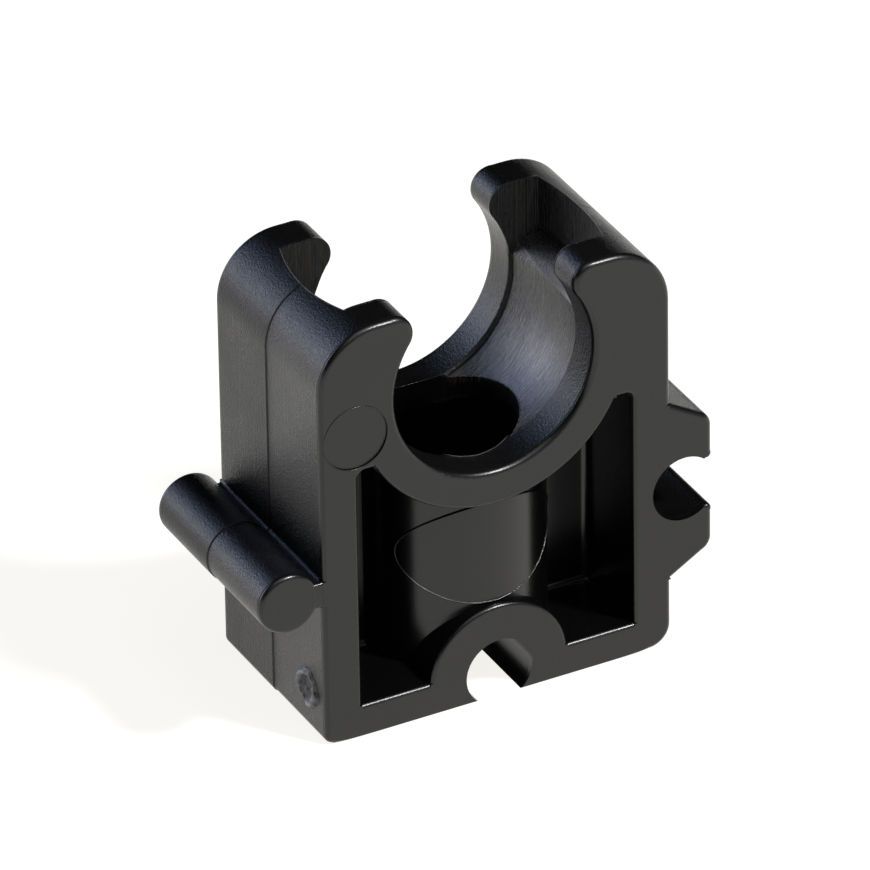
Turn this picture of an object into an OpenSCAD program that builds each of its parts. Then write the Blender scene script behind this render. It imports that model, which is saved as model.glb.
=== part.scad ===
// Snap-in clip that holds one line. It is one moulded piece.
// Width runs along X, the held line along Y, height along Z.
// Origin: on the axis of the held line, half way through the depth. The foot is below it.

/* [Held line] */
// outside diameter of the line the saddle holds
pipe_d = 20; // [18:0.5:20.5]
// radius of the rounded lip at the end of each arm
lip_r = 2; // [1.6:0.1:2.2]
// height of the lip centres above the line axis
lip_h = 6.6; // [6:0.1:7.4]

/* [Body] */
// width over the two side walls
body_w = 35.3; // [35:0.1:38]
// depth along the held line
body_d = 20; // [19:0.5:28]
// height of the line axis above the foot
axis_h = 33.8; // [33:0.2:38]
// outer rounding of the arms
arm_r = 6; // [5:0.1:6.4]
// foot corner rounding on the socket side
foot_r_socket = 2.2; // [1:0.1:3]
// foot corner rounding on the pin side
foot_r_pin = 0.9; // [0.7:0.1:2]
// rounding where the outline meets the front and back faces
edge_r = 0.55; // [0.3:0.05:0.7]

/* [Middle recess] */
// width of the recess that parts the saddle into two lands
recess_w = 12; // [9:0.5:13]
// how far the recess lies behind the lands, at its sides
recess_in = 0.35; // [0.2:0.05:0.5]
// how much further it lies behind them, at mid depth
recess_bulge = 0.85; // [0.6:0.05:1]
// reach of the notch through each arm, from the axis, at mid depth
notch_reach = 13.9; // [13.2:0.1:14.4]
// radius of the notch end wall, seen from above
notch_plan_r = 20; // [18:1:30]

/* [Screw seat] */
// diameter of the well that takes the screw head and its washer
well_d = 13.6; // [12.4:0.2:14]
// height of the well floor above the foot
well_floor = 9.2; // [8.6:0.1:11]
// diameter of the screw hole, for an M6 screw
screw_d = 6.4; // [5.4:0.1:6.6]
// wall of the tube round the well
well_wall = 2.3; // [1.8:0.1:2.4]

/* [Pockets] */
// side wall thickness beside the pockets
side_wall = 3.75; // [3.4:0.05:4.2]
// thickness of the foot
foot_t = 3.25; // [2.6:0.05:3.6]
// thickness of the saddle wall
saddle_wall = 3.5; // [3:0.1:3.8]
// drop from the line axis to the roof of the pockets
pocket_drop = 6; // [5:0.1:7]
// corner rounding of the pocket roof
pocket_r = 0.8; // [0.5:0.1:1]
// thickness of the web that parts the front pockets from the back ones
web_t = 2.2; // [1.6:0.1:3]
// rounding of the pocket mouths
mouth_r = 0.4; // [0.2:0.05:0.5]
// rounding at the foot and the ends of the web
web_fillet = 0.7; // [0.4:0.1:1]

/* [Rail groove] */
// diameter of the groove in the foot
rail_d = 6.7; // [6.6:0.1:7]
// height of the groove centre above the foot
rail_h = 2.55; // [2.3:0.05:2.8]
// wall of the arch over the groove
rail_wall = 3.65; // [3:0.05:3.8]

/* [Side coupling] */
// height of the coupling axis above the foot
link_h = 16.1; // [15:0.1:17]
// diameter of the coupling pin
link_pin_d = 6.1; // [5.6:0.1:6.2]
// distance from the side wall to the pin centre
link_pin_out = 3.3; // [3.2:0.05:3.6]
// thickness of the neck that carries the pin
neck_t = 2.6; // [2:0.1:3.2]
// rounding where the neck meets the side wall
neck_r = 0.35; // [0.2:0.05:0.4]
// rounding of the pin ends
pin_end_r = 0.5; // [0.3:0.1:0.8]
// play round the pin in its socket, on the radius
link_play = 0.2; // [0.1:0.05:0.25]
// distance from the side wall to the socket centre
link_socket_out = 1.4; // [1.3:0.05:1.5]
// how far the hooks stand out from the side wall
hook_out = 4.25; // [4.1:0.05:4.4]
// half height of the hooks at the side wall
hook_root = 9.2; // [8.8:0.1:9.8]
// half height of the hooks where they stand out furthest
hook_crown = 6.7; // [6.4:0.1:7]
// rounding of the outer hook corners
hook_r = 1.5; // [1:0.1:1.8]
// rounding of the hook ends
hook_tip_r = 0.5; // [0.4:0.05:0.6]

/* [Marks] */
// diameter of the plain disc on the arm above the pin
disc_d = 6.4; // [5:0.1:6.6]
// depth of the plain disc
disc_in = 0.12; // [0.08:0.02:0.2]
// width of the plain oval pad on the well tube
oval_w = 15.6; // [12:0.2:16]
// height of the plain oval pad
oval_h = 10.4; // [8:0.2:10.6]
// how far the oval pad is raised
oval_up = 0.14; // [0.1:0.02:0.2]

/* [Output] */
// which piece is drawn

/* [Hidden] */
$fn = 96;
eps = 0.01;
// how far the edge cutters reach past the outline
reach = 0.05;

seat_r = pipe_d / 2;
half_w = body_w / 2;
half_d = body_d / 2;
foot_z = -axis_h;

// how far a rounded corner or lip stands past the line or arc it runs into,
// so that the two meet in a clean edge
round_bite = 0.02;
// how far an edge rounding stops short of an inner corner
corner_gap = 0.05;
function gap_a(rad) = corner_gap / rad * 180 / PI;

// lips: each lip circle meets the saddle circle from outside
lip_far = seat_r + lip_r - round_bite;
lip_x = sqrt(pow(lip_far, 2) - pow(lip_h, 2));
top_z = lip_h + lip_r - round_bite;
arm_x = half_w - arm_r;
arm_z = top_z - arm_r;

// recess: an arc turned round the line axis, then a rounded shoulder up to the notch
recess_half = recess_w / 2;
barrel_mid = seat_r + recess_in + recess_bulge;
barrel_arc = (pow(recess_half, 2) + pow(recess_bulge, 2)) / (2 * recess_bulge);
shoulder_r = notch_reach - barrel_mid + 0.15;
notch_cx = notch_reach - notch_plan_r;

saddle_or = seat_r + saddle_wall;
arch_r = rail_d / 2 + rail_wall;
rail_z = foot_z + rail_h;
pocket_x = half_w - side_wall;
pocket_z0 = foot_z + foot_t;
pocket_z1 = -pocket_drop;
roof_x = sqrt(pow(saddle_or, 2) - pow(pocket_drop, 2));
roof_a = asin(pocket_drop / saddle_or);
arch_a = asin((pocket_z0 - rail_z) / arch_r);
arch_x = arch_r * cos(arch_a);
tube_r = well_d / 2 + well_wall;
oval_z = (rail_z + arch_r - saddle_or) / 2;

link_z = foot_z + link_h;
pin_r = link_pin_d / 2;
pin_x = -half_w - link_pin_out;
socket_r = pin_r + link_play;
socket_x = half_w + link_socket_out;
hook_x = half_w + hook_out;
tip_x = hook_x - hook_tip_r;
tip_dz = sqrt(pow(socket_r + hook_tip_r, 2) - pow(tip_x - socket_x, 2));
tip_end_r = min(pin_end_r, 0.8 * hook_tip_r);
slope_a = atan2(hook_root - hook_crown, hook_out);
crown_x = hook_x - hook_r;
crown_r = hook_r - round_bite;
crown_dz = hook_root - (crown_x - half_w) * tan(slope_a) - crown_r / cos(slope_a);
crown_px = crown_x + crown_r * sin(slope_a);
crown_pz = crown_dz + crown_r * cos(slope_a);
crown_a = acos(crown_r / hook_r);
crown_run = hook_r * sin(crown_a) - 0.1;

// lifts an outline drawn in X and Z to a solid along Y
module along_y(d) {
    rotate([90, 0, 0])
        linear_extrude(height = d, center = true)
            children();
}

// round bar along Y
module bar_y(x, z, r, d) {
    translate([x, 0, z])
        rotate([90, 0, 0])
            cylinder(r = r, h = d, center = true);
}

module block_outline() {
    translate([-half_w + foot_r_pin, foot_z])
        square([body_w - foot_r_pin - foot_r_socket, 10]);
    translate([-half_w, foot_z + foot_r_pin])
        square([half_w, axis_h - foot_r_pin + arm_z]);
    translate([-eps, foot_z + foot_r_socket])
        square([half_w + eps, axis_h - foot_r_socket + arm_z]);
    translate([-half_w + foot_r_pin, foot_z + foot_r_pin])
        circle(r = foot_r_pin);
    translate([half_w - foot_r_socket, foot_z + foot_r_socket])
        circle(r = foot_r_socket);
    for (s = [-1, 1])
        translate([s * arm_x, arm_z])
            circle(r = arm_r);
    translate([-arm_x, 0])
        square([2 * arm_x, top_z]);
}

// one hook, above the coupling axis
module hook_outline() {
    polygon([
        [half_w - 1, 0],
        [half_w - 1, hook_root],
        [half_w, hook_root],
        [crown_px, crown_pz],
        [crown_x, crown_dz],
        [hook_x, crown_dz],
        [hook_x, tip_dz],
        [tip_x, tip_dz],
        [socket_x, 0]
    ]);
    translate([crown_x, crown_dz])
        circle(r = hook_r);
}

// round bar along Y over the whole depth, with rounded ends
module round_bar(x, z, r, end_r) {
    translate([x, 0, z])
        rotate([90, 0, 0])
            rotate_extrude()
                for (s = [0, 1])
                    mirror([0, s]) {
                        square([r - end_r, half_d]);
                        square([r, half_d - end_r]);
                        translate([r - end_r, half_d - end_r])
                            intersection() {
                                circle(r = end_r);
                                square(end_r);
                            }
                    }
}

// coupling pin on a short neck
module coupling_pin() {
    round_bar(pin_x, link_z, pin_r, pin_end_r);
    along_y(body_d - 2 * pin_end_r)
        translate([pin_x, link_z - neck_t / 2])
            square([link_pin_out + 1, neck_t]);
    for (s = [0, 1])
        translate([0, 0, link_z])
            mirror([0, 0, s])
                along_y(body_d - 2 * pin_end_r)
                    difference() {
                        translate([-half_w - neck_r, neck_t / 2 - eps])
                            square([neck_r + eps, neck_r + eps]);
                        translate([-half_w - neck_r, neck_t / 2 + neck_r])
                            circle(r = neck_r);
                    }
}

// region the pockets take out, seen from the front
module pocket_outline() {
    difference() {
        union() {
            translate([-pocket_x, pocket_z0])
                square([2 * pocket_x, pocket_z1 - pocket_r - pocket_z0]);
            translate([-pocket_x + pocket_r, pocket_z0])
                square([2 * (pocket_x - pocket_r), pocket_z1 - pocket_z0]);
            for (s = [-1, 1])
                translate([s * (pocket_x - pocket_r), pocket_z1 - pocket_r])
                    circle(r = pocket_r);
        }
        circle(r = saddle_or);
        translate([0, rail_z])
            circle(r = arch_r);
    }
}

// plain oval, drawn as a closed ring of points
module oval_outline() {
    polygon([for (i = [0 : 47])
        [oval_w / 2 * cos(i * 7.5), oval_z + oval_h / 2 * sin(i * 7.5)]]);
}

// one pair of pockets, left and right of the well tube
module pocket_void(pad) {
    difference() {
        translate([0, -(half_d + 1 + web_t / 2) / 2, 0])
            along_y(half_d + 1 - web_t / 2)
                pocket_outline();
        translate([0, 0, foot_z])
            cylinder(r = tube_r, h = axis_h);
        // rounding between the web and the side walls
        for (s = [0, 1])
            mirror([s, 0, 0])
                translate([0, 0, foot_z])
                    linear_extrude(height = axis_h)
                        difference() {
                            translate([pocket_x - web_fillet, -web_t / 2 - web_fillet])
                                square([web_fillet + 1, web_fillet + 1]);
                            translate([pocket_x - web_fillet, -web_t / 2 - web_fillet])
                                circle(r = web_fillet);
                        }
        // rounding between the web and the pocket floor
        rotate([90, 0, 90])
            linear_extrude(height = body_w, center = true)
                difference() {
                    translate([-web_t / 2 - web_fillet, pocket_z0 - 1])
                        square([web_fillet + 1, web_fillet + 1]);
                    translate([-web_t / 2 - web_fillet, pocket_z0 + web_fillet])
                        circle(r = web_fillet);
                }
        // plain oval pad, on the front only
        if (pad)
            intersection() {
                translate([0, 0, foot_z])
                    cylinder(r = tube_r + oval_up, h = axis_h);
                translate([0, -half_d / 2 - 1, 0])
                    along_y(half_d)
                        oval_outline();
            }
    }
}

// middle recess of the saddle, running up over a rounded shoulder into a notch through each arm
module middle_recess() {
    intersection() {
        rotate([90, 0, 0])
            rotate_extrude()
                intersection() {
                    translate([barrel_mid - barrel_arc, 0])
                        circle(r = barrel_arc);
                    translate([0, -recess_half])
                        square([barrel_mid + 1, recess_w]);
                }
        translate([-20, -recess_half, -20])
            cube([40, recess_w, 20 + lip_h]);
    }
    for (s = [0, 1])
        mirror([s, 0, 0])
            intersection() {
                translate([notch_cx, 0, 0])
                    rotate_extrude()
                        difference() {
                            square([notch_plan_r, top_z + 2]);
                            translate([notch_plan_r, 0])
                                circle(r = shoulder_r);
                            translate([notch_plan_r - eps, -eps])
                                square([1, shoulder_r]);
                        }
                translate([0, -recess_half, -1])
                    cube([20, recess_w, top_z + 4]);
            }
}

// The edge cutters below round the front edges. The back ones are mirrored.

// along a straight edge from p to q, with the material on the left
module line_edge(p, q, r) {
    translate([p[0], -half_d, p[1]])
        rotate([0, -atan2(q[1] - p[1], q[0] - p[0]), 0])
            rotate([90, 0, 90])
                linear_extrude(height = norm(q - p))
                    difference() {
                        translate([-1, -reach])
                            square([1 + r, reach + r]);
                        translate([r, r])
                            circle(r = r * 1.01);
                    }
}

// along an arc with the material inside it
module arc_edge(c, rad, a0, a1, r) {
    translate([c[0], 0, c[1]])
        rotate([90, 0, 0])
            rotate([0, 0, a0])
                rotate_extrude(angle = a1 - a0)
                    difference() {
                        translate([rad - r, half_d - r])
                            square([reach + r, 1 + r]);
                        translate([rad - r, half_d - r])
                            circle(r = r * 1.01);
                    }
}

// along an arc with the material outside it
module hollow_edge(c, rad, a0, a1, r) {
    translate([c[0], 0, c[1]])
        rotate([90, 0, 0])
            rotate([0, 0, a0])
                rotate_extrude(angle = a1 - a0)
                    difference() {
                        translate([rad - reach, half_d - r])
                            square([reach + r, 1 + r]);
                        translate([rad + r, half_d - r])
                            circle(r = r * 1.01);
                    }
}

// one row for each rounded edge: straight ones give two ends, arcs a centre, radius and two angles
function straight(p, q, r) = [0, p, q, r];
function round_out(c, rad, a0, a1, r) = [1, c, rad, a0, a1, r];
function round_in(c, rad, a0, a1, r) = [2, c, rad, a0, a1, r];

// where a row is cut: 0 as it stands, 1 on the other side, 2 and 3 above and below the coupling axis
function as_is(rows) = [for (row = rows) [row, 0]];
function both_sides(rows) = [for (row = rows) each [[row, 0], [row, 1]]];
function both_hooks(rows) = [for (row = rows) each [[row, 2], [row, 3]]];

side_rows = as_is([
    // socket side, from the foot up
    round_out([half_w - foot_r_socket, foot_z + foot_r_socket], foot_r_socket, -90, 0, edge_r),
    straight([half_w, foot_z + foot_r_socket], [half_w, link_z - hook_root], edge_r),
    straight([half_w, link_z + hook_root], [half_w, arm_z], edge_r),
    // pin side, from the arm down
    straight([-half_w, arm_z], [-half_w, link_z + neck_t / 2], edge_r),
    straight([-half_w, link_z - neck_t / 2], [-half_w, foot_z + foot_r_pin], edge_r),
    round_out([-half_w + foot_r_pin, foot_z + foot_r_pin], foot_r_pin, 180, 270, edge_r)
]);

// one hook, with heights from the coupling axis
hook_rows = both_hooks([
    straight([hook_x, tip_dz], [hook_x, crown_dz], edge_r),
    round_out([crown_x, crown_dz], hook_r, 0, 90 - slope_a + crown_a + 3, edge_r),
    straight(
        [crown_px - crown_run * cos(slope_a), crown_pz + crown_run * sin(slope_a)],
        [half_w, hook_root],
        edge_r
    )
]);

arm_rows = both_sides([
    round_out([arm_x, arm_z], arm_r, 0, 90, edge_r),
    straight([arm_x, top_z], [lip_x - 1, top_z], edge_r)
]);

saddle_rows = as_is([
    round_in([0, 0], seat_r, 0, 360, edge_r),
    round_out([0, 0], saddle_or, 180 + roof_a + gap_a(saddle_or), 360 - roof_a - gap_a(saddle_or), mouth_r),
    round_out([0, rail_z], arch_r, arch_a + gap_a(arch_r), 180 - arch_a - gap_a(arch_r), mouth_r)
]);

pocket_rows = both_sides([
    straight([-pocket_x, pocket_z0], [-pocket_x, pocket_z1 - pocket_r], mouth_r),
    round_in([-pocket_x + pocket_r, pocket_z1 - pocket_r], pocket_r, 90, 180, mouth_r),
    straight([-pocket_x + pocket_r, pocket_z1], [-roof_x - corner_gap, pocket_z1], mouth_r),
    straight([-arch_x - corner_gap, pocket_z0], [-pocket_x, pocket_z0], mouth_r)
]);

edge_rows = concat(side_rows, hook_rows, arm_rows, saddle_rows, pocket_rows);

module row_cut(row) {
    if (row[0] == 0) line_edge(row[1], row[2], row[3]);
    if (row[0] == 1) arc_edge(row[1], row[2], row[3], row[4], row[5]);
    if (row[0] == 2) hollow_edge(row[1], row[2], row[3], row[4], row[5]);
}

module edge_cut(entry) {
    if (entry[1] == 0)
        row_cut(entry[0]);
    if (entry[1] == 1)
        mirror([1, 0, 0])
            row_cut(entry[0]);
    if (entry[1] == 2)
        translate([0, 0, link_z])
            row_cut(entry[0]);
    if (entry[1] == 3)
        translate([0, 0, link_z])
            mirror([0, 0, 1])
                row_cut(entry[0]);
}

// the body with its first n edges rounded, front and back, one after the other
module rounded_clip(n) {
    if (n == 0)
        hollowed_clip();
    else
        difference() {
            difference() {
                rounded_clip(n - 1);
                edge_cut(edge_rows[n - 1]);
            }
            mirror([0, 1, 0])
                edge_cut(edge_rows[n - 1]);
        }
}

// outline, saddle, socket, lips and pin, before anything is hollowed
module solid_clip() {
    difference() {
        along_y(body_d) {
            block_outline();
            for (s = [0, 1])
                translate([0, link_z])
                    mirror([0, s])
                        hook_outline();
        }
        bar_y(0, 0, seat_r, body_d + 2);
        bar_y(socket_x, link_z, socket_r, body_d + 2);
        // mouth between the lips
        along_y(body_d + 2)
            polygon([
                [0, 0],
                [lip_x, lip_h],
                [lip_x, top_z + 2],
                [-lip_x, top_z + 2],
                [-lip_x, lip_h]
            ]);
    }
    coupling_pin();
}

module pocketed_clip() {
    difference() {
        difference() {
            solid_clip();
            pocket_void(true);
        }
        mirror([0, 1, 0])
            pocket_void(false);
    }
}

module hollowed_clip() {
    difference() {
        difference() {
            difference() {
                pocketed_clip();
                middle_recess();
            }
            // well for the screw head
            translate([0, 0, foot_z + well_floor])
                cylinder(r = well_d / 2, h = axis_h - well_floor);
        }
        // screw hole, and the rail groove it opens into
        translate([0, 0, rail_z])
            cylinder(r = screw_d / 2, h = well_floor);
        bar_y(0, rail_z, rail_d / 2, body_d + 2);
        // plain disc
        translate([-half_w + side_wall - 0.15, -half_d - 1 + disc_in, -2.4])
            rotate([90, 0, 0])
                cylinder(r = disc_d / 2, h = 2, center = true);
    }
}

// one lip: a short bar with a rounded end, from the side of the recess to the front face
module lip_bar() {
    translate([lip_x, 0, lip_h])
        rotate([90, 0, 0])
            rotate_extrude() {
                translate([0, recess_half])
                    square([lip_r, half_d - edge_r - recess_half]);
                translate([0, recess_half])
                    square([lip_r - edge_r, half_d - recess_half]);
                translate([lip_r - edge_r, half_d - edge_r])
                    intersection() {
                        circle(r = edge_r);
                        square(edge_r);
                    }
            }
}

module clip_body() {
    color([0.07, 0.07, 0.075]) {
        rounded_clip(len(edge_rows));
        for (s = [0, 1])
            mirror([s, 0, 0])
                for (t = [0, 1])
                    mirror([0, t, 0])
                        lip_bar();
        // hook tips
        for (s = [-1, 1])
            round_bar(tip_x, link_z + s * tip_dz, hook_tip_r, tip_end_r);
    }
}

clip_body();
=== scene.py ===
import math
import random
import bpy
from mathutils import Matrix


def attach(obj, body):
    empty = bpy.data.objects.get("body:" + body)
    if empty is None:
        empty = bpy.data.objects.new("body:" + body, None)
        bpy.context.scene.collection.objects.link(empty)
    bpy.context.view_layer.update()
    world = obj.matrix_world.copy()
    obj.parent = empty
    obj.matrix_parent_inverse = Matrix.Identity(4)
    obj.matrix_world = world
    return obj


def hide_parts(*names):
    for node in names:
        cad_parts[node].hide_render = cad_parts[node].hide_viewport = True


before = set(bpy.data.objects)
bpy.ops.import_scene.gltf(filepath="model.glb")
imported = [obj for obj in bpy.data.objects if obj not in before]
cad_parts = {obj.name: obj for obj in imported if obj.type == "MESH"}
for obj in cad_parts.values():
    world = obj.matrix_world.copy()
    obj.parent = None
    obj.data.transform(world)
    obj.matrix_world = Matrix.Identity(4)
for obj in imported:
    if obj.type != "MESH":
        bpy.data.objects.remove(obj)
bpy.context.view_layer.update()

from types import SimpleNamespace
import bmesh
import bpy
from mathutils import Matrix, Vector

MM = 0.001
scene = bpy.context.scene
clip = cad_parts["clip_body"]

# sizes of the solid, which the pieces below are fitted to
HALF_W, HALF_D, FOOT_Z = 17.65 * MM, 10 * MM, -33.8 * MM
FOOT_CORNER_PIN, FOOT_CORNER_SOCKET = 0.9 * MM, 2.2 * MM
SIDE_WALL = 3.75 * MM
# saddle: radius of its lands, half width of the recess between them, and the recess at mid depth
SEAT_R, RECESS_HALF, BARREL_R = 10 * MM, 6 * MM, 11.2 * MM
# notch through each arm: reach from the axis, and radius of its end wall seen from above
NOTCH_REACH, NOTCH_PLAN_R = 13.9 * MM, 20 * MM
# screw well: radius, thickness of its tube, and a height that only its upper rim lies above
WELL_R, WELL_WALL, WELL_TOP = 6.8 * MM, 2.3 * MM, -12.5 * MM

# tolerances: for cuts and merging, on a rounding, on a land of the saddle, and on the foot and well
CUT_NEAR, TINY, LAND_NEAR, EDGE_NEAR = 0.0005 * MM, 0.001 * MM, 0.004 * MM, 0.01 * MM
# a face that looks along Y at least this squarely is a side wall of the recess, not of a land
SQUARE_TO_Y = 0.9

# parting line round the outside, near mid depth: place, half width and depth of its groove
PART_Y, PART_HALF, PART_DEPTH = 0.25 * MM, 0.07 * MM, 0.07 * MM
# the groove's own faces lie this near its middle
GROOVE_FACES = 1.5 * PART_HALF
# how far the front mould half is set in on the pin side
HALF_JOG = 0.10 * MM
# what lies nearer the axis than this is spared by the parting line
OUTSIDE_FROM = NOTCH_REACH + 0.05 * MM

# foot: rounding of its front and back edges at both ends and in the middle, and how soon it changes
FOOT_R_END, FOOT_R_MID, FOOT_BLEND = 0.55 * MM, 0.18 * MM, 1.0 * MM
# stretch of the foot between the outline's rounded corners, and the height that the cuts reach
FOOT_RUN = (-HALF_W + FOOT_CORNER_PIN, HALF_W - FOOT_CORNER_SOCKET)
FOOT_TOP = FOOT_Z + 1.2 * FOOT_R_END
# where the foot is cut so that it can bend: shares of its end rounding, and blends from each end
FOOT_LEVELS = (0.08, 0.18, 0.33, 0.5, 0.75, 1.0)
FOOT_STEPS = (0.25, 0.6, 1.1, 1.8, 2.8, 4.2)

# lands of the saddle: rounding of their inner edges, and the heights between which it dies out
LAND_R, LAND_STEPS, LAND_FADE = 0.4 * MM, 5, (0.5 * MM, 3.0 * MM)

# torn gate on the pin-side wall: place and half size in Y and Z, height of its rim, depth of its skirt
WALL_X = -HALF_W + HALF_JOG
GATE_AT, GATE_HALF = (-6.5 * MM, -29.4 * MM), (2.0 * MM, 2.1 * MM)
GATE_RISE, GATE_SUNK = 0.34 * MM, 0.10 * MM
GATE_SEED, GATE_RINGS, GATE_STEPS = 7, 26, 88
# its rim: place and width as shares of the half size, and how uneven it is round the mark, from where
GATE_RIM_AT, GATE_RIM_WIDTH, GATE_RIM_UNEVEN, GATE_RIM_PHASE = 0.74, 0.12, 0.5, 0.6
# waves of its outline, as shares of the half size
WAVES, WAVE_SIZES, WAVE_COUNTS = 7, (0.01, 0.035), (2, 11)
# crags in its dip: distance from the middle and width, as shares of the half size
CRAGS, CRAG_AT, CRAG_WIDTHS = 46, (0.15, 0.8), (0.07, 0.22)
# shares of the rim's height: the floor of the dip, the crags, and the unevenness of every point
GATE_BASE, CRAG_SHARE, GATE_WOBBLE = 0.12, 0.6, 0.05

# fine lines: radius of the bead, then the oval pad, with the radius of its face, and the sunk disc
LINE_R, LINE_SIDES = 0.05 * MM, 8
PAD_R = WELL_R + WELL_WALL + 0.14 * MM
OVAL_HALF, OVAL_Z = (7.8 * MM, 5.2 * MM), -18.875 * MM
DISC_AT, DISC_R = (-HALF_W + SIDE_WALL - 0.15 * MM, -2.4 * MM), 3.2 * MM
OVAL_POINTS, DISC_POINTS = 160, 96

# front of the pin's neck: reach along X, height, half thickness, rounding, and reach along Y
NECK_SPAN, NECK_Z = (-18.75 * MM, -17.5 * MM), -17.7 * MM
NECK_HALF, NECK_ROUND, NECK_STEPS = 1.28 * MM, 0.25 * MM, 6
NECK_FRONT, NECK_BACK = 9.985 * MM, 9.3 * MM
NECK_SHARP_FROM = math.radians(40)

# masks of the plastic, in mm: each pair is where a mask is still empty and where it is full
BARREL_DEEP = (BARREL_R / MM + 0.1, BARREL_R / MM - 0.1)
BARREL_WIDE = (RECESS_HALF / MM, RECESS_HALF / MM - 0.2)
NOTCH_DEEP = (NOTCH_PLAN_R / MM + 0.10, NOTCH_PLAN_R / MM + 0.03)
NOTCH_HIGH, NOTCH_WIDE = (1.0, 3.0), (6.3, 6.05)
POCKET_WIDE, POCKET_HIGH = (14.1, 13.95), (-5.8, -6.2)
POCKET_DEEP, POCKET_ARCH = (9.8, 9.5), (12.3, 12.9)
RIM_DEEP = (9.3, 9.5)
BACK_WALL_FROM, BACK_WALL_OUT = 0.05, (-13.0, -15.0)
# the pale gate mask, which is stress-whitening and also a painted glint on the torn rim: heights over the
# wall, and radii round the gate
GATE_WHITE_GLINT_RISE, GATE_WHITE_GLINT_R = (0.12, 0.42), (2.5, 2.3)
# how squarely a face has to look along Y or X to count as a plain face or a wall
FACE_TILT, WALL_TILT = (0.90, 0.99), (0.80, 0.99)

# relief of the plastic: height of the spark-eroded grain, then its noises, with scales per mm
GRAIN_HEIGHT = 0.07 * MM
GRAIN = dict(scale=4.4, detail=3.0, rough=0.62, distortion=0.3)
FINE_GRAIN = dict(scale=9.0, detail=2.0, rough=0.5)
PATCHES = dict(scale=0.16, detail=4.0, rough=0.6)
STREAKS, STREAK_STRETCH = dict(scale=2.2, detail=5.0, rough=0.7), (2.2, 2.2, 0.03)
SCUFFS = dict(scale=1.5, detail=5.0, rough=0.7, distortion=0.5)
SCUFF_STRETCH, SCUFF_TURN = (0.4, 3.6, 0.4), (0.35, 0.0, 0.25)
# share of each noise in the relief, and how much of the relief the smoother places lose
FINE_SHARE, WALL_STREAKS, NOTCH_STREAKS, SCUFF_SHARE = 0.35, 0.5, 1.8, 0.9
FACE_SMOOTH, POCKET_SMOOTH, RIM_SMOOTH = 0.75, 0.9, 0.85

# colours of the plastic: cold and warm black, worn brown (in the recess also a painted warm highlight), and
# pale for the torn gate (stress-whitened, partly a painted glint)
COLD_BLACK, WARM_BLACK = (0.0012, 0.0012, 0.0014, 1), (0.0032, 0.0030, 0.0027, 1)
WEAR_AND_HIGHLIGHT_COLOUR, GATE_WHITE_AND_GLINT = (0.055, 0.046, 0.038, 1), (0.38, 0.38, 0.39, 1)
# stretch of each noise that shows as wear (in the recess, wear plus a painted warm highlight), and the most
# that the notches wear
SCUFF_WEAR_AND_HIGHLIGHT, STREAK_WEAR, NOTCH_WEAR = (0.42, 0.64), (0.50, 0.75), 0.45

# gloss of the plastic: its level, what the back half of the walls lacks, and the burnished recess
IOR, GLOSS, BACK_WALL_LOSS, RECESS_GLOSS = 1.5, 0.5, 0.24, 1.0
# roughness by noise: the stretch of the noise, and the roughness at its ends
PLAIN_ROUGH = (0.3, 0.7, 0.26, 0.33)
RECESS_ROUGH = (0.35, 0.7, 0.20, 0.38)
NOTCH_ROUGH = (0.35, 0.65, 0.16, 0.42)
# the pockets are evenly smooth
POCKET_ROUGH = 0.22

# floor: half size, how bright it looks, and its own grey
FLOOR_HALF, FLOOR_LIFT, FLOOR_GREY, FLOOR_GLOW = 1.2, 0.88, 0.24, (1.0, 0.98, 0.94, 1)

# sky: brightness overhead and at the horizon, the heights between which it fades, and its tint
SKY_DIM, SKY_LOW, HORIZON_FADE = 0.012, 0.9, (0.0, 0.18)
SKY_TINT = (0.86, 0.93, 1.08)
# the horizon is dark toward the back right
DARK_TOWARD, DARK_FADE, DARK_LEVEL = (0.6, 0.8, 0.0), (0.45, 0.85), 0.08
# glows in the sky, each with the cosines off its direction where it starts and where it is full
SKY_GLOWS = (
    # bluish window, behind on the left
    dict(toward=(-0.58, 0.76, 0.30), starts=0.86, full=0.985, strength=1.8, tint=(0.60, 0.78, 1.25)),
    # warm light low down beside it
    dict(toward=(-0.66, 0.74, 0.14), starts=0.95, full=0.995, strength=3.0, tint=(1.12, 1.0, 0.88)),
    # weak fill from the front
    dict(toward=(0.3, -0.8, 0.55), starts=0.2, full=0.95, strength=0.20, tint=(1.0, 1.0, 1.0)),
)
# lamps: a small one from the front right for the edges, and a wide weak one overhead
KEY_LAMP = dict(place=(0.351, -0.468, 0.684), aim=(0, 0, -0.01), size=0.10, power=9.0)
TOP_LAMP = dict(place=(-0.1, -0.35, 0.9), aim=(0, 0, -0.03), size=0.7, power=1.6)

# camera, from the photograph's own perspective
AZIMUTH, ELEVATION, ROLL = (math.radians(angle) for angle in (-27.522, 31.693, -0.910))
FOCAL_PX, PX_PER_MM, IMAGE_PX, SENSOR_MM = 11702.2, 11.152, 870, 36
TARGET, TARGET_PX = Vector((0, 0, FOOT_Z + 22 * MM)), (444.504, 436.235)
CLIP_NEAR, CLIP_FAR = 0.05, 20


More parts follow.
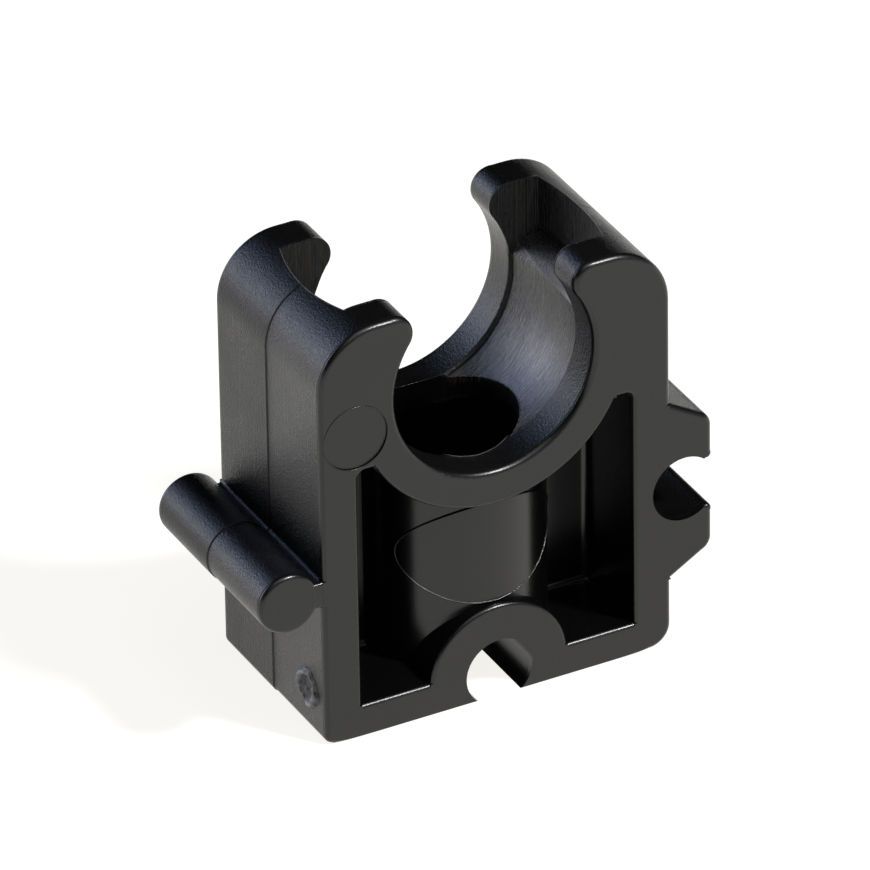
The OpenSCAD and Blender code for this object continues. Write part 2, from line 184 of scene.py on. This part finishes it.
class Graph:
    """Short way to write a shader node tree."""

    def __init__(self, tree):
        self.tree = tree
        tree.nodes.clear()

    def node(self, kind, **settings):
        made = self.tree.nodes.new(kind)
        for key, value in settings.items():
            setattr(made, key, value)
        return made

    def join(self, source, target):
        self.tree.links.new(source, target)

    def feed(self, target, value):
        """Sets a socket to a plain value, or links it to another socket."""
        if hasattr(value, "is_output"):
            self.join(value, target)
        else:
            target.default_value = value

    def math(self, operation, a, b=0.0):
        made = self.node("ShaderNodeMath", operation=operation)
        for socket, value in zip(made.inputs, (a, b)):
            self.feed(socket, value)
        return made.outputs[0]

    def add(self, a, b):
        return self.math("ADD", a, b)

    def product(self, first, *others):
        """All the values multiplied, such as masks that must hold together."""
        for other in others:
            first = self.math("MULTIPLY", first, other)
        return first

    def length(self, a, b):
        return self.math("SQRT", self.add(self.product(a, a), self.product(b, b)))

    def faded(self, value, mask, share):
        """The value, with the given share of it taken off where the mask holds."""
        return self.product(value, self.math("SUBTRACT", 1.0, self.product(mask, share)))

    def ramp(self, value, low, high, out_low=0.0, out_high=1.0):
        made = self.node("ShaderNodeMapRange", interpolation_type="SMOOTHSTEP")
        amounts = {
            "Value": value, "From Min": low, "From Max": high, "To Min": out_low, "To Max": out_high}
        for key, amount in amounts.items():
            self.feed(made.inputs[key], amount)
        return made.outputs["Result"]

    def noise(self, vector, scale, detail, rough, distortion=0.0):
        made = self.node("ShaderNodeTexNoise")
        self.feed(made.inputs["Vector"], vector)
        amounts = {"Scale": scale, "Detail": detail, "Roughness": rough, "Distortion": distortion}
        for key, amount in amounts.items():
            made.inputs[key].default_value = amount
        return made.outputs["Fac"]

    def stretched(self, vector, scale, turn=(0, 0, 0)):
        made = self.node("ShaderNodeMapping")
        self.join(vector, made.inputs["Vector"])
        made.inputs["Scale"].default_value = scale
        made.inputs["Rotation"].default_value = turn
        return made.outputs["Vector"]

    def split(self, vector):
        made = self.node("ShaderNodeSeparateXYZ")
        self.join(vector, made.inputs[0])
        return made.outputs

    def dot(self, vector, direction):
        made = self.node("ShaderNodeVectorMath", operation="DOT_PRODUCT")
        self.join(vector, made.inputs[0])
        made.inputs[1].default_value = direction
        return made.outputs["Value"]

    def scaled(self, colour, factor):
        made = self.node("ShaderNodeVectorMath", operation="SCALE")
        made.inputs[0].default_value = colour
        self.feed(made.inputs["Scale"], factor)
        return made.outputs[0]

    def add_colours(self, a, b):
        made = self.node("ShaderNodeVectorMath", operation="ADD")
        self.join(a, made.inputs[0])
        self.join(b, made.inputs[1])
        return made.outputs[0]

    def mix_value(self, factor, a, b):
        made = self.node("ShaderNodeMix", data_type="FLOAT")
        for key, value in ((0, factor), (2, a), (3, b)):
            self.feed(made.inputs[key], value)
        return made.outputs[0]

    def mix_colour(self, factor, a, b):
        made = self.node("ShaderNodeMix", data_type="RGBA")
        for key, value in ((0, factor), (6, a), (7, b)):
            self.feed(made.inputs[key], value)
        return made.outputs[2]


def new_material(name):
    material = bpy.data.materials.new(name)
    material.use_nodes = True
    return material, Graph(material.node_tree)


def clip_places(g, mm):
    """Masks for the places of the clip that are finished differently, from place and facing."""
    x, y, z = g.split(mm)
    facing = g.split(g.node("ShaderNodeNewGeometry").outputs["True Normal"])
    off_axis = g.math("ABSOLUTE", x)
    off_mid = g.math("ABSOLUTE", y)
    from_axis = g.length(x, z)
    from_notch = g.length(g.math("SUBTRACT", off_axis, (NOTCH_REACH - NOTCH_PLAN_R) / MM), y)
    on_face = g.ramp(g.math("ABSOLUTE", facing[1]), *FACE_TILT)
    on_wall = g.ramp(g.math("ABSOLUTE", facing[0]), *WALL_TILT)
    behind = g.ramp(y, PART_Y / MM - BACK_WALL_FROM, PART_Y / MM + BACK_WALL_FROM)
    from_gate = g.length(
        g.math("SUBTRACT", y, GATE_AT[0] / MM),
        g.math("SUBTRACT", z, GATE_AT[1] / MM))
    # pale gate mask on the raised torn rim: part stress-whitening, part painted glint
    gate_raised = g.ramp(x, *(WALL_X / MM - rise for rise in GATE_WHITE_GLINT_RISE))
    return SimpleNamespace(
        in_barrel=g.product(g.ramp(from_axis, *BARREL_DEEP), g.ramp(off_mid, *BARREL_WIDE)),
        in_notch=g.product(
            g.ramp(from_notch, *NOTCH_DEEP), g.ramp(z, *NOTCH_HIGH), g.ramp(off_mid, *NOTCH_WIDE)),
        in_pocket=g.product(
            g.ramp(off_axis, *POCKET_WIDE), g.ramp(z, *POCKET_HIGH),
            g.ramp(off_mid, *POCKET_DEEP), g.ramp(from_axis, *POCKET_ARCH)),
        on_face=on_face,
        on_wall=on_wall,
        on_rim=g.faded(g.ramp(off_mid, *RIM_DEEP), on_face, 1.0),
        on_back_wall=g.product(on_wall, behind, g.ramp(x, *BACK_WALL_OUT)),
        gate_white_and_glint=g.product(gate_raised, g.ramp(from_gate, *GATE_WHITE_GLINT_R)))


def clip_noises(g, mm):
    """Noises of the plastic, each along its own direction."""
    return SimpleNamespace(
        grain=g.noise(mm, **GRAIN),
        fine=g.noise(mm, **FINE_GRAIN),
        patch=g.noise(mm, **PATCHES),
        streak=g.noise(g.stretched(mm, STREAK_STRETCH), **STREAKS),
        scuff=g.noise(g.stretched(mm, SCUFF_STRETCH, SCUFF_TURN), **SCUFFS))


def clip_relief(g, at, noise):
    """Grain outside, drag lines on the walls and in the notches, scuffs in the recess."""
    relief = g.add(g.faded(noise.grain, at.on_face, FACE_SMOOTH), g.product(noise.fine, FINE_SHARE))
    lines = g.add(g.product(at.on_wall, WALL_STREAKS), g.product(at.in_notch, NOTCH_STREAKS))
    relief = g.add(relief, g.product(noise.streak, lines))
    relief = g.mix_value(at.in_barrel, relief, g.product(noise.scuff, SCUFF_SHARE))
    relief = g.faded(relief, at.in_pocket, POCKET_SMOOTH)
    relief = g.faded(relief, at.on_rim, RIM_SMOOTH)
    bump = g.node("ShaderNodeBump")
    bump.inputs["Strength"].default_value = 1.0
    bump.inputs["Distance"].default_value = GRAIN_HEIGHT
    g.join(relief, bump.inputs["Height"])
    return bump.outputs["Normal"]


def clip_colour(g, at, noise):
    """Patchy black, browner where pipes wear it (in the recess lightened as a painted warm highlight too),
    and pale on the stressed rim of the torn gate, partly a painted glint.
    """
    tone = g.mix_colour(noise.patch, COLD_BLACK, WARM_BLACK)
    # painted warm highlight: the recess's brown scuff wear is also lightened to stand in for its highlight
    recess_wear_and_highlight = g.product(at.in_barrel, g.ramp(noise.scuff, *SCUFF_WEAR_AND_HIGHLIGHT))
    in_notch = g.product(at.in_notch, g.ramp(noise.streak, *STREAK_WEAR, 0.0, NOTCH_WEAR))
    colour = g.mix_colour(g.add(recess_wear_and_highlight, in_notch), tone, WEAR_AND_HIGHLIGHT_COLOUR)
    # painted glint: the raised torn rim of the gate is pale for stress-whitening and also lightened as a
    # glint
    return g.mix_colour(at.gate_white_and_glint, colour, GATE_WHITE_AND_GLINT)


def clip_gloss(g, at):
    """The back mould half leaves the wall duller, and pipes burnish the recess."""
    gloss = g.math("SUBTRACT", GLOSS, g.product(at.on_back_wall, BACK_WALL_LOSS))
    return g.mix_value(at.in_barrel, gloss, RECESS_GLOSS)


def clip_roughness(g, at, noise):
    rough = g.ramp(noise.patch, *PLAIN_ROUGH)
    rough = g.mix_value(at.in_barrel, rough, g.ramp(noise.scuff, *RECESS_ROUGH))
    rough = g.mix_value(at.in_notch, rough, g.ramp(noise.streak, *NOTCH_ROUGH))
    return g.mix_value(at.in_pocket, rough, POCKET_ROUGH)


def clip_plastic():
    """Black moulded plastic of the clip."""
    material, g = new_material("clip_plastic")
    place = g.node("ShaderNodeTexCoord").outputs["Object"]
    mm = g.stretched(place, (1 / MM, 1 / MM, 1 / MM))
    at = clip_places(g, mm)
    noise = clip_noises(g, mm)
    shader = g.node("ShaderNodeBsdfPrincipled")
    shader.inputs["IOR"].default_value = IOR
    g.join(clip_colour(g, at, noise), shader.inputs["Base Color"])
    g.join(clip_gloss(g, at), shader.inputs["Specular IOR Level"])
    g.join(clip_roughness(g, at, noise), shader.inputs["Roughness"])
    g.join(clip_relief(g, at, noise), shader.inputs["Normal"])
    g.join(shader.outputs[0], g.node("ShaderNodeOutputMaterial").inputs["Surface"])
    return material


def finished_piece(name, mesh, material):
    """A mesh as a smooth piece of the clip, riding its only body."""
    mesh.materials.clear()
    mesh.materials.append(material)
    mesh.polygons.foreach_set("material_index", [0] * len(mesh.polygons))
    mesh.shade_smooth()
    piece = bpy.data.objects.new(name, mesh)
    scene.collection.objects.link(piece)
    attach(piece, "root")
    return piece


def mesh_from(name, bm):
    mesh = bpy.data.meshes.new(name)
    bm.to_mesh(mesh)
    bm.free()
    return mesh


def closed_piece(name, bm, material):
    """A closed form as a piece of the clip, with its faces turned outward."""
    bmesh.ops.recalc_face_normals(bm, faces=bm.faces[:])
    return finished_piece(name, mesh_from(name, bm), material)


def join_rings(bm, rings):
    """Faces between each closed ring of points and the next one."""
    for here, there in zip(rings, rings[1:]):
        for index in range(len(here)):
            after = (index + 1) % len(here)
            bm.faces.new((here[index], there[index], there[after], here[after]))


def cap_ends(bm, rings):
    bm.faces.new(rings[0])
    bm.faces.new(list(reversed(rings[-1])))


def cut_across(bm, faces, place, direction):
    """Cuts the given faces along a plane, so that they can be bent there."""
    edges = list(dict.fromkeys(edge for face in faces for edge in face.edges))
    verts = list(dict.fromkeys(vert for face in faces for vert in face.verts))
    bmesh.ops.bisect_plane(
        bm, geom=verts + edges + faces, dist=CUT_NEAR, plane_co=place, plane_no=direction)


def shade_as_turned(faces, turned, kept):
    """Gives the corners of bent faces the directions of the rounding that they lie on."""
    for face in faces:
        if all(vert in turned for vert in face.verts):
            for loop in face.loops:
                loop[kept] = turned[loop.vert]


def solid_with_normals():
    """The CAD solid's mesh, with its exact corner normals kept through the cuts that follow."""
    source = clip.data.copy()
    kept = source.attributes.new("kept_normal", "FLOAT_VECTOR", "CORNER")
    for corner, normal in zip(kept.data, source.corner_normals):
        corner.vector = normal.vector
    bm = bmesh.new()
    bm.from_mesh(source)
    bpy.data.meshes.remove(source)
    bmesh.ops.remove_doubles(bm, verts=bm.verts, dist=CUT_NEAR)
    return bm


def sink_parting_line(bm, kept):
    """Sinks the groove of the parting line, and sets the front mould half in on the pin side."""
    moved = set()
    for vert in bm.verts:
        x, y, z = vert.co
        if abs(x) < OUTSIDE_FROM:
            continue
        out = Vector((vert.normal.x, 0, vert.normal.z))
        shift = Vector()
        if abs(y - PART_Y) < PART_HALF / 2:
            shift -= out * PART_DEPTH
        if x < 0 and y < PART_Y + PART_HALF / 2 and z > FOOT_Z + EDGE_NEAR:
            shift -= out * HALF_JOG
        vert.co += shift
        moved.add(vert)
    # the groove's own faces are shaded flat, the rest keeps the solid's exact normals
    for face in bm.faces:
        face.normal_update()
        off_line = max(abs(vert.co.y - PART_Y) for vert in face.verts)
        if off_line < GROOVE_FACES and all(vert in moved for vert in face.verts):
            for loop in face.loops:
                loop[kept] = face.normal


def foot_radius(x):
    """The foot's edge is nearly sharp, and widens to the outline's rounding at both ends."""
    end = min(x - FOOT_RUN[0], FOOT_RUN[1] - x)
    return FOOT_R_MID + (FOOT_R_END - FOOT_R_MID) * math.exp(-max(0, end) / FOOT_BLEND)


def cut_foot(bm):
    """Cuts the foot's edges finely enough to be rounded."""
    def foot_faces():
        return [face for face in bm.faces if any(vert.co.z < FOOT_TOP for vert in face.verts)]

    for share in FOOT_LEVELS:
        level = share * FOOT_R_END
        cut_across(bm, foot_faces(), (0, 0, FOOT_Z + level), (0, 0, 1))
        cut_across(bm, foot_faces(), (0, level - HALF_D, 0), (0, 1, 0))
        cut_across(bm, foot_faces(), (0, HALF_D - level, 0), (0, 1, 0))
    for step in FOOT_STEPS:
        cut_across(bm, foot_faces(), (FOOT_RUN[0] + step * FOOT_BLEND, 0, 0), (1, 0, 0))
        cut_across(bm, foot_faces(), (FOOT_RUN[1] - step * FOOT_BLEND, 0, 0), (1, 0, 0))


def round_foot_edges(bm, kept):
    """Rounds the front and back edges of the foot, between the rounded corners of the outline."""
    cut_foot(bm)
    turned = {}
    for vert in bm.verts:
        x, y, z = vert.co
        if not FOOT_RUN[0] - TINY < x < FOOT_RUN[1] + TINY:
            continue
        radius = foot_radius(x)
        side = math.copysign(1, y)
        centre = Vector((x, side * (HALF_D - radius), FOOT_Z + radius))
        out = vert.co - centre
        if out.y * side < -TINY or out.z > TINY or out.length < radius - TINY:
            continue
        turned[vert] = out.normalized()
        vert.co = centre + turned[vert] * radius
    shade_as_turned(bm.faces, turned, kept)


def on_land(vert):
    """Whether a point lies on one of the two lands of the saddle."""
    off_seat = abs(math.hypot(vert.co.x, vert.co.z) - SEAT_R)
    return off_seat < LAND_NEAR and abs(vert.co.y) > RECESS_HALF - LAND_NEAR


def cut_lands(bm):
    """Cuts the lands beside the recess finely enough to be rounded."""
    def inner_faces():
        return [
            face for face in bm.faces
            if all(on_land(vert) for vert in face.verts)
            and any(abs(vert.co.y) < RECESS_HALF + LAND_R for vert in face.verts)]

    for step in range(1, LAND_STEPS + 1):
        level = LAND_R * (1 - math.cos(math.radians(90) * step / LAND_STEPS))
        for side in (-1, 1):
            cut_across(bm, inner_faces(), (0, side * (RECESS_HALF + level), 0), (0, 1, 0))


def round_land_edges(bm, kept):
    """Rounds the edge between each land of the saddle and the scooped recess, up to the lips."""
    cut_lands(bm)
    fade_low, fade_high = LAND_FADE
    turned = {}
    for vert in bm.verts:
        inward = abs(vert.co.y) - RECESS_HALF
        if not on_land(vert) or inward > LAND_R + TINY or vert.co.z > fade_high:
            continue
        fade = min(1, (fade_high - vert.co.z) / (fade_high - fade_low))
        slope = 1 - max(0, inward) / LAND_R
        drop = LAND_R * fade * (1 - math.sqrt(max(0, 1 - slope * slope)))
        tilt = math.asin(min(1, slope)) * fade
        radial = Vector((vert.co.x, 0, vert.co.z)).normalized()
        to_recess = Vector((0, -math.copysign(1, vert.co.y), 0))
        turned[vert] = -radial * math.cos(tilt) + to_recess * math.sin(tilt)
        vert.co += radial * drop
    lands = [face for face in bm.faces if abs(face.normal.y) < SQUARE_TO_Y]
    shade_as_turned(lands, turned, kept)


def moulded_body(material):
    """The CAD solid as it leaves the mould, with its parting line and its finer roundings."""
    bm = solid_with_normals()
    for offset in (-PART_HALF, 0, PART_HALF):
        cut_across(bm, bm.faces[:], (0, PART_Y + offset, 0), (0, 1, 0))
    bm.normal_update()
    kept = bm.loops.layers.float_vector["kept_normal"]
    sink_parting_line(bm, kept)
    round_foot_edges(bm, kept)
    round_land_edges(bm, kept)
    mesh = mesh_from("moulded_body", bm)
    piece = finished_piece("moulded_body", mesh, material)
    normals = mesh.attributes["kept_normal"]
    mesh.normals_split_custom_set([corner.vector.normalized() for corner in normals.data])
    mesh.attributes.remove(mesh.attributes["kept_normal"])
    return piece


def gate_height(share, turn, crags, wobble):
    """Height of the torn gate over the wall: a ragged rim round a dip full of crags."""
    rim = math.exp(-((share - GATE_RIM_AT) / GATE_RIM_WIDTH) ** 2)
    rim *= 1 + GATE_RIM_UNEVEN * math.sin(2 * turn + GATE_RIM_PHASE)
    rough = 0
    for out, at, width, rise in crags:
        apart = math.hypot(
            share * math.cos(turn) - out * math.cos(at),
            share * math.sin(turn) - out * math.sin(at))
        rough += rise * math.exp(-(apart / width) ** 2)
    return GATE_RISE * (GATE_BASE + rim + CRAG_SHARE * rough * (1 - share) + wobble)


def ring_of_turns(steps):
    return [math.tau * step / steps for step in range(steps)]


def gate_scar(material):
    """Torn-off gate low on the pin-side wall: a ragged oval rim round a rough dip."""
    rng = random.Random(GATE_SEED)
    # size, count and phase of each wave of the outline
    waves = [
        (rng.uniform(*WAVE_SIZES), rng.randint(*WAVE_COUNTS), rng.uniform(0, math.tau))
        for _ in range(WAVES)]
    # distance, direction, width and rise of each crag
    crags = [
        (rng.uniform(*CRAG_AT), rng.uniform(0, math.tau), rng.uniform(*CRAG_WIDTHS), rng.uniform(-1, 1))
        for _ in range(CRAGS)]
    bm = bmesh.new()
    rings = []
    for number in range(1, GATE_RINGS + 1):
        share = number / GATE_RINGS
        ring = []
        for turn in ring_of_turns(GATE_STEPS):
            ragged = 1 + sum(size * math.sin(count * turn + phase) for size, count, phase in waves)
            y = GATE_HALF[0] * share * ragged * math.cos(turn)
            z = GATE_HALF[1] * share * ragged * math.sin(turn)
            height = gate_height(share, turn, crags, rng.uniform(-GATE_WOBBLE, GATE_WOBBLE))
            # the last ring is a skirt sunk in the wall
            if number == GATE_RINGS:
                height = -GATE_SUNK
            ring.append(bm.verts.new((WALL_X - height, GATE_AT[0] + y, GATE_AT[1] + z)))
        rings.append(ring)
    join_rings(bm, rings)
    cap_ends(bm, rings)
    return closed_piece("gate_scar", bm, material)


def raised_line(name, points, outward, material):
    """Fine bead along a closed line of points, for an edge that catches the light."""
    bm = bmesh.new()
    rings = []
    for index, (point, out) in enumerate(zip(points, outward)):
        along = (points[(index + 1) % len(points)] - points[index - 1]).normalized()
        sideways = along.cross(out).normalized()
        upward = sideways.cross(along)
        rings.append([
            bm.verts.new(point + LINE_R * (math.cos(turn) * sideways + math.sin(turn) * upward))
            for turn in ring_of_turns(LINE_SIDES)])
    join_rings(bm, rings + rings[:1])
    return closed_piece(name, bm, material)


def oval_rim(material):
    """Line round the plain oval pad on the front of the screw tube."""
    points = []
    for turn in ring_of_turns(OVAL_POINTS):
        x = OVAL_HALF[0] * math.cos(turn)
        z = OVAL_Z + OVAL_HALF[1] * math.sin(turn)
        points.append(Vector((x, -math.sqrt(PAD_R ** 2 - x ** 2), z)))
    outward = [Vector((point.x, point.y, 0)).normalized() for point in points]
    return raised_line("oval_rim", points, outward, material)


def disc_rim(material):
    """Line round the plain sunk disc on the pin-side arm."""
    points = [
        Vector((DISC_AT[0] + DISC_R * math.cos(turn), -HALF_D, DISC_AT[1] + DISC_R * math.sin(turn)))
        for turn in ring_of_turns(DISC_POINTS)]
    return raised_line("disc_rim", points, [Vector((0, -1, 0))] * len(points), material)


def well_rim(material):
    """Edge of the screw well where it opens into the saddle, taken from the body's own rim."""
    rim = {}
    for vert in clip.data.vertices:
        x, y, z = vert.co
        if abs(math.hypot(x, y) - WELL_R) < EDGE_NEAR and z > WELL_TOP:
            turn = round(math.atan2(y, x), 2)
            if turn not in rim or rim[turn].z < z:
                rim[turn] = vert.co.copy()
    points = [rim[turn] for turn in sorted(rim)]
    return raised_line("well_rim", points, [Vector((0, 0, 1))] * len(points), material)


def neck_front(material):
    """Front of the pin's neck, flush with the end of the pin and the front face."""
    quarter = [math.radians(90) * step / NECK_STEPS for step in range(NECK_STEPS + 1)]
    profile = [(-NECK_BACK, NECK_HALF)]
    for side, turns in ((1, quarter), (-1, quarter[::-1])):
        profile += [
            (-NECK_FRONT + NECK_ROUND * (1 - math.sin(turn)),
             side * (NECK_HALF - NECK_ROUND * (1 - math.cos(turn))))
            for turn in turns]
    profile.append((-NECK_BACK, -NECK_HALF))
    bm = bmesh.new()
    ends = [[bm.verts.new((x, y, NECK_Z + z)) for y, z in profile] for x in NECK_SPAN]
    join_rings(bm, ends)
    cap_ends(bm, ends)
    piece = closed_piece("neck_front", bm, material)
    piece.data.set_sharp_from_angle(angle=NECK_SHARP_FROM)
    return piece


def floor_material():
    """White table: bright to the camera and in reflections, with the clip's soft shadow kept."""
    material, g = new_material("floor_white")
    path = g.node("ShaderNodeLightPath")
    seen = g.math("MAXIMUM", path.outputs["Is Camera Ray"], path.outputs["Is Glossy Ray"])
    seen = g.math("MAXIMUM", seen, path.outputs["Is Transmission Ray"])
    matt = g.node("ShaderNodeBsdfDiffuse")
    matt.inputs["Color"].default_value = (FLOOR_GREY, FLOOR_GREY, FLOOR_GREY, 1)
    lift = g.node("ShaderNodeEmission")
    lift.inputs["Color"].default_value = FLOOR_GLOW
    g.join(g.product(seen, FLOOR_LIFT), lift.inputs["Strength"])
    both = g.node("ShaderNodeAddShader")
    g.join(matt.outputs[0], both.inputs[0])
    g.join(lift.outputs[0], both.inputs[1])
    g.join(both.outputs[0], g.node("ShaderNodeOutputMaterial").inputs["Surface"])
    return material


def make_floor():
    corners = [(-1, -1), (1, -1), (1, 1), (-1, 1)]
    mesh = bpy.data.meshes.new("floor")
    mesh.from_pydata([(x * FLOOR_HALF, y * FLOOR_HALF, FOOT_Z) for x, y in corners], [], [(0, 1, 2, 3)])
    mesh.materials.append(floor_material())
    floor = bpy.data.objects.new("floor", mesh)
    scene.collection.objects.link(floor)


def make_world():
    """Studio tent: white low down but for the back right, dim overhead, with glows; white to the camera."""
    world = bpy.data.worlds.new("studio")
    scene.world = world
    world.use_nodes = True
    g = Graph(world.node_tree)
    ray = g.node("ShaderNodeTexCoord").outputs["Generated"]
    height = g.split(ray)[2]
    low_band = g.ramp(height, HORIZON_FADE[1], HORIZON_FADE[0], SKY_DIM, SKY_LOW)
    lit_side = g.ramp(g.dot(ray, DARK_TOWARD), *DARK_FADE, 1.0, DARK_LEVEL)
    light = g.scaled(SKY_TINT, g.product(low_band, lit_side))
    for glow in SKY_GLOWS:
        facing = g.dot(ray, Vector(glow["toward"]).normalized())
        strength = g.ramp(facing, glow["starts"], glow["full"], 0.0, glow["strength"])
        light = g.add_colours(light, g.scaled(glow["tint"], strength))
    lit = g.node("ShaderNodeBackground")
    g.join(light, lit.inputs["Color"])
    seen = g.node("ShaderNodeBackground")
    seen.inputs["Color"].default_value = (1, 1, 1, 1)
    pick = g.node("ShaderNodeMixShader")
    g.join(g.node("ShaderNodeLightPath").outputs["Is Camera Ray"], pick.inputs[0])
    g.join(lit.outputs[0], pick.inputs[1])
    g.join(seen.outputs[0], pick.inputs[2])
    g.join(pick.outputs[0], g.node("ShaderNodeOutputWorld").inputs["Surface"])


def make_lamp(name, place, aim, size, power):
    """Square area lamp, aimed at a point."""
    data = bpy.data.lights.new(name, "AREA")
    data.shape = "SQUARE"
    data.size = size
    data.energy = power
    lamp = bpy.data.objects.new(name, data)
    scene.collection.objects.link(lamp)
    lamp.location = place
    lamp.rotation_euler = (Vector(aim) - Vector(place)).to_track_quat("-Z", "Y").to_euler()


def make_camera():
    """The photograph's camera, which looks at TARGET and shows it at TARGET_PX."""
    back = Vector((
        math.sin(AZIMUTH) * math.cos(ELEVATION),
        -math.cos(AZIMUTH) * math.cos(ELEVATION),
        math.sin(ELEVATION)))
    right = (-back).cross(Vector((0, 0, 1))).normalized()
    up = right.cross(-back)
    rolled_right = right * math.cos(ROLL) + up * math.sin(ROLL)
    rolled_up = up * math.cos(ROLL) - right * math.sin(ROLL)
    distance = FOCAL_PX / PX_PER_MM * MM
    across = (TARGET_PX[0] - IMAGE_PX / 2) / FOCAL_PX * distance
    above = -(TARGET_PX[1] - IMAGE_PX / 2) / FOCAL_PX * distance
    data = bpy.data.cameras.new("photo_camera")
    data.sensor_width = SENSOR_MM
    data.lens = FOCAL_PX / IMAGE_PX * SENSOR_MM
    data.clip_start, data.clip_end = CLIP_NEAR, CLIP_FAR
    camera = bpy.data.objects.new("photo_camera", data)
    scene.collection.objects.link(camera)
    turn = Matrix((rolled_right, rolled_up, back)).transposed().to_4x4()
    turn.translation = TARGET + back * distance - rolled_right * across - rolled_up * above
    camera.matrix_world = turn
    scene.camera = camera


make_camera()
make_world()
make_floor()
make_lamp("key_right_front", **KEY_LAMP)
make_lamp("top_soft", **TOP_LAMP)

plastic = clip_plastic()
body = moulded_body(plastic)
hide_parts("clip_body")
gate_scar(plastic)
oval_rim(plastic)
disc_rim(plastic)
well_rim(plastic)
neck_front(plastic)

scene.view_settings.view_transform = "Standard"
